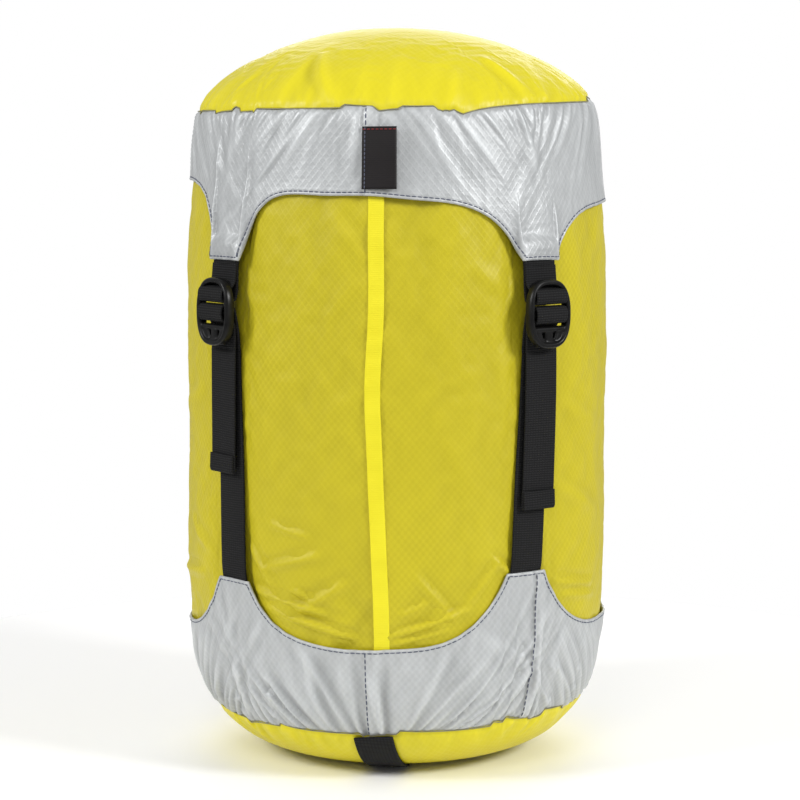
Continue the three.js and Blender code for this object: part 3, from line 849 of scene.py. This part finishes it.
def band_lift(angle, run):
    up = np.maximum(run - FOOT.run_at(base_seam(angle)), 0)
    down = square_distance(angle, edge_run(FOOT, band_hem), run, SACK_RADIUS)
    lift = BAND_FOLDS.lift(angle, up, 0.103) + BAND_LONG_FOLDS.lift(angle, up, 0.106)
    lift = lift + crease_lift(angle, height_on(FOOT, run), BAND_CREASES)
    calm = np.clip(down / (11 * MM), 0.15, 1)
    # the strap's pull keeps the tongue flat where its loose tail slides over it
    strapped = from_tongue(angle, BAND_TONGUES) * SACK_RADIUS / (13 * MM)
    lift = lift - np.maximum(lift - 0.2 * MM, 0) * np.exp(-(strapped**6))
    lift = kept_above(lift) * calm + bumps(angle, run, 91, 20, 0.35 * MM, (1.6, 1.0)) * calm
    lift = lift + webbing_bulge(angle, down, BAND_TONGUES, 0.25 * MM, 12 * MM)
    lift = lift + hem_relief(down) + pucker(angle, down, 95, 0.16 * MM, 6 * MM, 92) + seam_dip(up)
    return lift + joined_ends(angle) + 1.6 * joined_ends(angle, RIGHT_SEAM)


def dome_lift(angle, run):
    up = np.maximum(run - CAP.run_at(top_seam(angle)), 0)
    middle = np.clip((CAP.end - run) / 0.05, 0, 1)
    lift = DOME_FOLDS.lift(angle, up, 0.1) + DOME_LONG_FOLDS.lift(angle, up, 0.09)
    lift = lift + bumps(angle, run, 81, 14, 0.35 * MM, (0.4, 0.8)) + crease_lift(angle, up, DOME_CREASES)
    return lift * middle + seam_dip(up, 1.1 * MM, 2.0 * MM)


def foot_lift(angle, run):
    down = np.maximum(FOOT.run_at(base_seam(angle)) - run, 0)
    free = np.clip((run - 0.07) / 0.03, 0, 1)
    lift = FOOT_FOLDS.lift(angle, down, 0.098) + bumps(angle, run, 101, 12, 0.3 * MM, (0.6, 0.8))
    return lift * free + seam_dip(down, 1.1 * MM, 2.0 * MM)


def steady(value):
    return lambda at: np.full(np.shape(at), value)


def edge_run(outline, height_of):
    """An edge given by its height at each angle, as runs of an outline."""
    return lambda angle: outline.run_at(height_of(angle))


WALL_PANEL = Panel(WALL, steady(WALL.run_at(50 * MM)), steady(WALL.end), wall_lift)
SKIRT_PANEL = Panel(CAP, edge_run(CAP, skirt_hem), edge_run(CAP, top_seam), skirt_lift)
BAND_PANEL = Panel(FOOT, edge_run(FOOT, base_seam), edge_run(FOOT, band_hem), band_lift)
DOME_PANEL = Panel(CAP, edge_run(CAP, top_seam), steady(CAP.end), dome_lift)
FOOT_PANEL = Panel(FOOT, steady(0.0), edge_run(FOOT, base_seam), foot_lift)


def settle_cloth():
    """Simulate each panel, held along its edges. Each is gathered most at the seam it hangs from."""
    SKIRT_PANEL.settle(420, 40, lambda share: 0.012 + 0.06 * share**2, 0.5)
    BAND_PANEL.settle(420, 40, lambda share: 0.012 + 0.06 * (1 - share) ** 2, 0.5)
    WALL_PANEL.settle(240, 60, steady(0.012), 0.4, 10)
    DOME_PANEL.settle(300, 30, lambda share: 0.02 * (1 - share) ** 2, 0.6, 12, 0.8)


def side_wall():
    piece = shell("side_wall_fabric", WALL_PANEL, 480, 220, 0.6 * MM, BODY_YELLOW, inner_rows=40)
    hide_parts("side_wall")
    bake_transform(piece)


def webbing_below(angle, height):
    """Black webbing shows faintly through the thin grey cloth of the skirt's tongues."""
    across = from_tongue(angle, SKIRT_TONGUES) * SACK_RADIUS
    return 0.28 * under(across, 9.6 * MM, 0.3 * MM) * under(height, 272 * MM, 0.3 * MM)


def lid_skirt():
    piece = shell("lid_skirt_fabric", SKIRT_PANEL, 760, 96, 0.7 * MM, GREY, rolled=("low",),
                  dark=webbing_below)
    attach(piece, "lid", "lid_skirt")


def lid_dome():
    piece = shell("lid_dome_fabric", DOME_PANEL, 600, 110, 0.6 * MM, END_YELLOW_PAINTED_LIGHT)
    attach(piece, "lid", "lid_dome")


def base_band():
    piece = shell("base_band_fabric", BAND_PANEL, 760, 90, 0.7 * MM, GREY, rolled=("high",))
    attach(piece, "sack", "base_band")


def base_panel():
    piece = shell("base_panel_fabric", FOOT_PANEL, 480, 90, 0.6 * MM, END_YELLOW_PAINTED_LIGHT)
    attach(piece, "sack", "base_panel")


def on_panel(panel, angle, run, raised):
    """Points and outward directions at matching angles and runs, which must go round in order."""
    low, high = panel.low_edge(angle), panel.high_edge(angle)
    share = ((run - low) / (high - low))[None, :]
    points = panel.surface(angle, share, raised)[0]
    outs = panel.surface(angle, share, raised + 1 * MM)[0] - points
    return points, unit(outs)


def hem_path(panel, angles, edge, inset, inwards):
    """A line a distance inside a hem; `inwards` is +1 if the cloth lies above its hem."""
    radius = 0.1095
    flat = np.stack([angles * radius, edge], 1)
    around = np.array([TURN * radius, 0])
    closed = np.vstack([flat[-3:] - around, flat, flat[:3] + around])
    step = unit(closed[4:-2] - closed[2:-4])
    moved = flat + inwards * inset * np.stack([-step[:, 1], step[:, 0]], 1)
    moved = moved[np.argsort(moved[:, 0])]
    return on_panel(panel, moved[:, 0] / radius, moved[:, 1], 0.12 * MM)


def seam_line(name, outline, angles, run, material, body):
    """The overlocked thread that shows along a gathered seam."""
    points = outline.points(angles, run, -0.55 * MM)
    points = np.vstack([points, points[:1]])
    piece = tube(name, points, 0.3 * MM, material, 6, 1)
    attach(piece, body)


def seam_tape():
    """Tape over the front seam, which strays a little to each side on its way up."""
    front = np.array([0.0])
    heights = np.linspace(band_hem(front)[0] - 3 * MM, skirt_hem(front)[0] + 3 * MM, 120)
    stray = 1.0 + 0.5 * np.sin(heights * 31) + 0.25 * np.sin(heights * 83 + 1)
    stray += 2.4 * under(heights, 140 * MM, 10 * MM)
    stray -= 1.2 * np.exp(-(((heights - 205 * MM) / (30 * MM)) ** 2))
    angle = stray * MM / SACK_RADIUS
    low, high = WALL_PANEL.low_edge(angle), WALL_PANEL.high_edge(angle)
    share = (WALL.run_at(heights) - low) / (high - low)
    centres = np.array([
        WALL_PANEL.surface(np.array([a]), np.array([[k]]), 0.45 * MM)[0, 0] for a, k in zip(angle, share)
    ])
    sides = np.stack([np.cos(angle), np.sin(angle), np.zeros_like(angle)], 1)
    outs = np.stack([np.sin(angle), -np.cos(angle), np.zeros_like(angle)], 1)
    section = rounded_section(7.8 * MM, 0.5 * MM)
    piece = sweep("seam_tape_strip", centres, sides, outs, section, TAPE)
    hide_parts("seam_tape")
    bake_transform(piece)


LABEL_RADIUS = 0.1075


def label():
    """A woven label, sewn down along its left edge."""
    rows, columns = 24, 13
    z = np.linspace(297.5, 327.5, rows) * MM
    x = np.linspace(-5.6, 11.2, columns) * MM
    vertices = []
    for side in (1, -1):
        for height in z:
            for across in x:
                free = (across - x[0]) / (x[-1] - x[0])
                droop = (0.9 + 1.3 * free + 0.5 * free * math.sin((height - z[0]) * 90)) * MM
                angle = np.array([across / LABEL_RADIUS])
                run = np.array([CAP.run_at(height)])
                vertices.append(CAP.points(angle, run, droop + side * 0.25 * MM)[0])
    faces = []
    back = rows * columns
    for i in range(rows - 1):
        for j in range(columns - 1):
            a = i * columns + j
            faces.append((a, a + 1, a + columns + 1, a + columns))
            faces.append((back + a, back + a + columns, back + a + columns + 1, back + a + 1))
    rim = list(range(columns)) + [i * columns + columns - 1 for i in range(1, rows)]
    rim += [(rows - 1) * columns + j for j in reversed(range(columns - 1))]
    rim += [i * columns for i in reversed(range(1, rows - 1))]
    for a, b in zip(rim, rim[1:] + rim[:1]):
        faces.append((b, a, back + a, back + b))
    piece = new_object("label_patch", vertices, faces, LABEL_WEAVE)
    attach(piece, "lid", "label")
    outer = np.array(vertices[:back]).reshape(rows, columns, 3)
    threads = (("label_top_thread", outer[-2], LABEL_EDGE), ("label_side_thread", outer[:, 1], THREAD))
    for name, line, colour in threads:
        forwards = np.tile([0.0, -1.0, 0.0], (len(line), 1))
        raised = line + 0.15 * MM * forwards
        row = stitches(name, raised, forwards, colour, 1.6 * MM, 0.3 * MM, 0.25 * MM, closed=False)
        attach(row, "lid")


def upright_seam(name, panel, body, seam=LEFT_SEAM):
    """Stitches beside the joined ends of a grey panel, from its hem to its gathered seam."""
    angle = np.array([(seam + 1.0 * MM) / SEAM_RADIUS])
    share = np.linspace(0.02, 0.98, 60)[:, None]
    points = panel.surface(angle, share, 0.1 * MM)[:, 0]
    outs = unit(panel.surface(angle, share, 1.1 * MM)[:, 0] - points)
    piece = stitches(name, points, outs, THREAD, closed=False)
    attach(piece, body)


def seam_rows():
    """Stitches along both hems, thread along both gathered seams, and the short upright seams."""
    angles = angle_grid(760)
    for name, panel, edge, inwards, body in (
        ("skirt_hem_stitches", SKIRT_PANEL, SKIRT_PANEL.low_edge(angles), 1, "lid"),
        ("band_hem_stitches", BAND_PANEL, BAND_PANEL.high_edge(angles), -1, "sack"),
    ):
        points, outs = hem_path(panel, angles, edge, HEM_INSET, inwards)
        piece = stitches(name, points, outs, THREAD, gap=0.35 * MM)
        attach(piece, body)
    seam_line("top_seam_thread", CAP, angles, CAP.run_at(top_seam(angles)), EDGE_THREAD, "lid")
    seam_line("base_seam_thread", FOOT, angles, FOOT.run_at(base_seam(angles)), EDGE_THREAD, "sack")
    upright_seam("skirt_join_stitches", SKIRT_PANEL, "lid")
    upright_seam("band_join_stitches", BAND_PANEL, "sack")
    upright_seam("band_right_join_stitches", BAND_PANEL, "sack", RIGHT_SEAM)


# ---- Webbing and hardware ----------------------------------------------------------------------

def wall_radius_mm(height_mm):
    return WALL.radius_at(WALL.run_at(height_mm * MM)) / MM


def load_straps():
    """Each strap is three stretches: one shortens, one hangs slack and one follows its ladder lock."""
    slack, upper_start, top = STRAP_JOINS
    for name, degrees in STATIONS.items():
        band_top = float(band_hem(np.array([math.radians(degrees)]))[0]) / MM
        low = band_top - STRAP_TUCK
        stretches = []
        for part, start, end, count, steps in (
            ("lower", low, slack, 26, 3),
            ("slack", slack, upper_start, 3, 10),
            ("upper", upper_start, top, 3, 10),
        ):
            heights = np.linspace(start, end, count)
            across = STRAP_DRIFTS[name] * (upper_start - heights) / (upper_start - low)
            # it sinks a little where it lies under the band's tongue
            radius = wall_radius_mm(heights) + STRAP_DEPTH - 1.0 * under(heights, band_top, 1.5)
            line = np.stack([across, radius, heights, np.zeros(count)], 1)
            piece = strap(f"load_strap_{name}_{part}", degrees, line, WEBBING, steps=steps, wrapped=True)
            stretches.append(piece)
        lower, middle, upper = stretches
        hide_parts(f"load_strap_{name}")
        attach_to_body(lower, "sack")
        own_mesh(lower)
        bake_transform(middle)
        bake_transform(upper)


# Middle lines of the webbing at a ladder lock, as (depth outwards from LOCK_WALL, height).
ANCHOR_LINE = [
    (2.0, 259.7), (2.3, 257), (2.6, 254), (3.3, 250.4), (4.8, 248.7), (8.4, 248.0), (10.6, 247.2),
    (11.3, 245.4), (11.3, 243.6), (10.4, 241.8), (8, 241.3), (4.8, 241.2), (2.8, 242.2), (1.7, 246),
    (1.2, 252), (1.15, 257), (1.15, 259.9),
]
ROOT_LINE = [(1.6, 259.6), (1.4, 263), (0.4, 268.5)]
WRAP_LINE = [
    (STRAP_DEPTH, 216.6), (0.4, 221), (1.1, 227), (2.2, 233), (3.2, 237.0), (4.6, 238.9), (8, 239.3),
    (10.4, 238.9), (11.3, 237.2), (11.3, 234.2), (10.4, 232.4), (7, 231.8), (4.8, 231.5), (3.6, 230.0),
    (3.2, 226), (3.1, 216.6),
]


def strap_loops():
    """The loop that holds each ladder lock, and the load strap's turn over its lower bar."""
    for name, degrees in STATIONS.items():
        for kind, line in (("anchor_loop", ANCHOR_LINE), ("strap_wrap", WRAP_LINE)):
            middle = [(0, LOCK_WALL / MM + depth, height, 0) for depth, height in line]
            piece = strap(f"{kind}_{name}_webbing", degrees, middle, WEBBING, steps=6)
            attach(piece, f"buckle_{name}", f"{kind}_{name}")
        # the doubled webbing goes on under the tongue, where it is sewn down
        middle = [(0, LOCK_WALL / MM + depth, height, 0) for depth, height in ROOT_LINE]
        root = strap(f"anchor_root_{name}", degrees, middle, WEBBING, 2.5 * MM, steps=4, wrapped=True)
        attach(root, "lid")


def tails():
    """Each strap's free end, folded on itself and sewn."""
    for name, degrees in STATIONS.items():
        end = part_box(f"strap_tail_{name}")[0].z / MM
        heights = np.linspace(TAIL_TOP, end + 1.6, 8)
        share = (TAIL_TOP - heights) / (TAIL_TOP - end)
        sway = 1.8 if degrees > 0 else 1.2
        line = [
            (-sway * s * s, wall_radius_mm(h) + TAIL_DEPTH, h, 2 * s)
            for s, h in zip(share, heights)
        ]
        # the end is folded outwards and back up on itself
        a, r, h, t = line[-1]
        line += [(a, r + 0.2, h - 1.0, t), (a, r + 0.7, h - 1.2, t), (a, r + 1.15, h - 0.6, t)]
        line += [(a, r + 1.2, h + 2.5, t), (a, r + 1.0, h + 7.6, t)]
        piece = strap(f"strap_tail_{name}_webbing", degrees, line, WEBBING, steps=6)
        attach(piece, f"tail_{name}", f"strap_tail_{name}")


def base_handle():
    """Webbing across the base, from seam to seam, a little askew at the front."""
    reach = FOOT.run_at(25 * MM)
    half = FOOT.points(0.0, np.linspace(0.02, reach, 16), 0.75 * MM) / MM
    half = [(-y, max(z, 0.7)) for _, y, z in half]
    flat = [(-y, z) for y, z in reversed(half)] + half
    # its front end leans to the left as it rises
    line = [(2.5 - 4.5 * max(0.0, -y - 70) / 30 if y < 0 else -1.0, y, z) for y, z in flat]
    centres = smooth_line(line, 3) * MM
    along = unit(np.gradient(centres, axis=0))
    side = unit(np.array([1.0, 0, 0]) - along * along[:, :1])
    section = rounded_section(WEB_WIDTH, WEB_THICKNESS)
    piece = sweep("base_handle_webbing", centres, side, np.cross(side, along), section, WEBBING)
    attach(piece, "sack", "base_handle")


def remeshed(name, parts, voxel, smoothing, faces):
    """One moulded solid from overlapping closed meshes, with its inside corners softened."""
    joined = bmesh.new()
    for vertices, part_faces in parts:
        made = [joined.verts.new(v) for v in vertices]
        for face in part_faces:
            joined.faces.new([made[k] for k in face])
    bmesh.ops.recalc_face_normals(joined, faces=joined.faces)
    mesh = bpy.data.meshes.new(name)
    joined.to_mesh(mesh)
    joined.free()
    piece = bpy.data.objects.new(name, mesh)
    bpy.context.scene.collection.objects.link(piece)
    remesh = piece.modifiers.new("remesh", "REMESH")
    remesh.mode, remesh.voxel_size = "VOXEL", voxel
    soften = piece.modifiers.new("soften", "SMOOTH")
    soften.factor, soften.iterations = 0.5, smoothing
    thin = piece.modifiers.new("thin", "DECIMATE")
    bpy.context.view_layer.update()
    depsgraph = bpy.context.evaluated_depsgraph_get()
    thin.show_viewport = False
    depsgraph.update()
    full = len(piece.evaluated_get(depsgraph).data.polygons)
    thin.show_viewport = True
    thin.ratio = min(1.0, faces / max(full, 1))
    depsgraph.update()
    final = bpy.data.meshes.new_from_object(piece.evaluated_get(depsgraph))
    bpy.data.objects.remove(piece)
    final.polygons.foreach_set("use_smooth", [True] * len(final.polygons))
    return final


def oval(width, depth, power=2.6, count=16):
    """A squarish oval section."""
    t = np.linspace(0, TURN, count, endpoint=False)
    c, s = np.cos(t), np.sin(t)
    return np.stack([
        width / 2 * np.sign(c) * np.abs(c) ** (2 / power), depth / 2 * np.sign(s) * np.abs(s) ** (2 / power)
    ], 1)


def ladder_lock_mesh():
    """Ladder lock in its own frame: X across, Y outwards from the wall, Z up from its middle, in mm."""
    parts = []

    def depth_at(z):
        return 7.3 + 0.9 * math.cos(z / 17 * math.pi / 2) + 1.1 * max(0.0, -z / 17) ** 2

    t = np.linspace(0, TURN, 72, endpoint=False)
    c, s = np.cos(t), np.sin(t)
    x = 11.9 * np.sign(c) * np.abs(c) ** (2 / 2.9)
    z = 15.5 * np.sign(s) * np.abs(s) ** (2 / 2.5)
    rim = np.stack([x, [depth_at(v) for v in z], z], 1)
    along = unit(np.roll(rim, -1, 0) - np.roll(rim, 1, 0))
    side = unit(np.cross(along, [0.0, 1.0, 0.0]))
    parts.append(swept_part(rim, side, np.cross(side, along), oval(3.1, 5.4), True))

    def bar(start, end, width, depth):
        points = np.array([start, end], float)
        run = unit(np.gradient(points, axis=0))
        across = unit(np.cross(run, [0.0, 1.0, 0.0]))
        parts.append(swept_part(points, across, np.cross(across, run), oval(width, depth)))

    def cross_bar(half, y, z, width, depth):
        bar((-half, y, z), (half, y, z), width, depth)

    cross_bar(12, 7.9, 8.5, 2.9, 4.6)
    cross_bar(12, 7.9, -0.5, 2.9, 4.6)
    cross_bar(11.8, depth_at(-7.6) - 0.3, -7.6, 3.0, 4.2)
    for across in (-8.2, 0, 8.2):
        bar((across, depth_at(-8) - 0.2, -7.6), (across * 0.6, depth_at(-15) - 0.2, -15.5), 5.6, 3.2)
    cross_bar(4.6, depth_at(-15.5) - 0.4, -14.6, 3.0, 4.2)
    mesh = remeshed("ladder_lock_moulding", parts, 0.33, 6, 11000)
    mesh.transform(Matrix.Scale(MM, 4))
    return mesh


def ladder_locks():
    mesh = ladder_lock_mesh()
    mesh.materials.append(PLASTIC)
    for name, degrees in STATIONS.items():
        piece = bpy.data.objects.new(f"ladder_lock_{name}_moulding", mesh.copy())
        across, out = station_axes(degrees)
        middle = out * LOCK_WALL + across * station_shift(degrees) * MM
        place = Matrix((
            (across[0], out[0], 0, middle[0]), (across[1], out[1], 0, middle[1]),
            (0, 0, 1, LOCK_MIDDLE), (0, 0, 0, 1),
        ))
        piece.data.transform(place)
        if place.determinant() < 0:
            piece.data.flip_normals()
        bpy.context.scene.collection.objects.link(piece)
        attach(piece, f"buckle_{name}", f"ladder_lock_{name}")


# ---- Under the cap -----------------------------------------------------------------------------

def collar_lift(angle, run):
    share = np.clip(run / COLLAR.end, 0, 1)
    waves = np.sin(38 * angle + 1.2 * np.sin(5 * angle)) + 0.5 * np.sin(61 * angle + 2 * np.sin(3 * angle))
    return waves * (0.25 + 1.6 * share**2) * MM - 0.8 * MM


def collar():
    """The sack's top, gathered into pleats towards the mouth."""
    panel = Panel(COLLAR, steady(0.0), steady(COLLAR.end), collar_lift)
    piece = shell("collar_fabric", panel, 540, 70, 0.6 * MM, BODY_YELLOW)
    attach(piece, "sack_top", "collar")


def mouth_hem():
    """The drawcord's channel, rucked up round the mouth."""
    angles = np.linspace(-math.pi, math.pi, 420, endpoint=False)
    around = np.linspace(0, TURN, 20, endpoint=False)
    ruck = 1 + 0.13 * np.sin(38 * angles + 1.2 * np.sin(5 * angles)) + 0.06 * np.sin(83 * angles)
    radius = (25.2 + 3.1 * ruck[None, :] * np.cos(around)[:, None]) * MM
    height = (355.2 + 3.0 * ruck[None, :] * np.sin(around)[:, None]) * MM
    points = np.stack([radius * np.sin(angles), -radius * np.cos(angles), height], -1).reshape(-1, 3)
    piece = new_object("mouth_hem_fabric", points, grid_faces(20, 420, True), BODY_YELLOW)
    attach(piece, "sack_top", "mouth_hem")


def drawcord():
    """The cord leaves the lock, goes once round inside the mouth's hem and comes back."""
    way = [(y, CORD_LOCK_HEIGHT) for y in (-63, -52, -46, -40)] + [(-31, 355.2)]
    ring = np.radians(np.linspace(20, 340, 15))
    points = [(-1.8, y, z) for y, z in way]
    points += [(-25.3 * math.sin(a), -25.3 * math.cos(a), 355) for a in ring]
    points += [(1.8, y, z) for y, z in reversed(way)]
    piece = tube("drawcord_braid", np.array(points) * MM, 1.3 * MM, CORD, 12, 8)
    attach(piece, "sack_top", "drawcord")


def cord_lock_coil():
    """The lock's spring, which shortens as the plunger is pressed into it."""
    start, end, radius = -10.3 * MM, -5.5 * MM, 2.95 * MM
    turn = np.linspace(0, 2.75 * TURN, 60)
    x = start + 0.3 * MM + (end - start - 0.6 * MM) * turn / turn[-1]
    y, z = CORD_LOCK_Y * MM, CORD_LOCK_HEIGHT * MM
    points = np.stack([x, y + radius * np.cos(turn), z + radius * np.sin(turn)], 1)
    piece = tube("cord_lock_coil", points, 0.28 * MM, STEEL, 8, 1)
    attach(piece, "cord_lock", "cord_lock_spring")
    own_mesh(piece)


def small_hardware():
    """The cord's moulded pieces keep their own shapes."""
    for node in ("cord_pull", "cord_lock_barrel", "cord_lock_plunger"):
        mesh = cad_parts[node].data
        mesh.materials.clear()
        mesh.materials.append(PLASTIC)


# ---- Stage -------------------------------------------------------------------------------------

def camera():
    data = bpy.data.cameras.new("camera")
    data.lens = CAMERA["lens"]
    data.shift_x = CAMERA["shift"]
    data.clip_end = 20
    holder = bpy.data.objects.new("camera", data)
    a = math.radians(CAMERA["azimuth"])
    distance = CAMERA["distance"]
    holder.location = (distance * math.sin(a), -distance * math.cos(a), CAMERA["height"])
    holder.rotation_euler = (math.radians(90 - CAMERA["pitch"]), 0, a)
    bpy.context.scene.collection.objects.link(holder)
    bpy.context.scene.camera = holder


def area_light(name, place, target, size, power):
    data = bpy.data.lights.new(name, "AREA")
    data.shape, data.size, data.energy = "SQUARE", size, power
    light = bpy.data.objects.new(name, data)
    light.location = place
    light.rotation_euler = (Vector(target) - Vector(place)).to_track_quat("-Z", "Y").to_euler()
    bpy.context.scene.collection.objects.link(light)


def stage():
    bpy.ops.mesh.primitive_circle_add(vertices=96, radius=0.42, fill_type="NGON", location=(0, 0, 0))
    floor = bpy.context.object
    floor.name = "floor"
    floor.data.materials.append(Shader("floor_white", (0.97, 0.97, 0.97), 0.7).material)
    world = bpy.data.worlds.new("studio")
    world.use_nodes = True
    tree = world.node_tree
    background = tree.nodes["Background"]
    background.inputs[0].default_value = (1, 1, 1, 1)
    background.inputs[1].default_value = AMBIENT
    # the backdrop is seen as white, and lights the sack less than that
    seen = tree.nodes.new("ShaderNodeBackground")
    seen.inputs[0].default_value = (1, 1, 1, 1)
    seen.inputs[1].default_value = 1.0
    choose = tree.nodes.new("ShaderNodeMixShader")
    rays = tree.nodes.new("ShaderNodeLightPath")
    tree.links.new(rays.outputs["Is Camera Ray"], choose.inputs[0])
    tree.links.new(background.outputs[0], choose.inputs[1])
    tree.links.new(seen.outputs[0], choose.inputs[2])
    tree.links.new(choose.outputs[0], tree.nodes["World Output"].inputs[0])
    bpy.context.scene.world = world
    area_light("left", (-1.15, -0.75, 0.95), (0, 0, 0.22), 0.45, 12.5)
    area_light("right", (1.2, -0.6, 0.85), (0, 0, 0.2), 0.35, 13.6)
    area_light("front", (-0.1, -1.3, 1.1), (0, 0, 0.25), 0.5, 3)
    area_light("behind", (0, 1.2, 0.6), (0, 0.4, 0), 0.8, 6)
    bpy.context.scene.view_settings.view_transform = "Standard"


camera()
stage()
settle_cloth()
side_wall()
lid_skirt()
lid_dome()
base_band()
base_panel()
seam_rows()
seam_tape()
label()
load_straps()
strap_loops()
tails()
base_handle()
ladder_locks()
collar()
mouth_hem()
drawcord()
cord_lock_coil()
small_hardware()
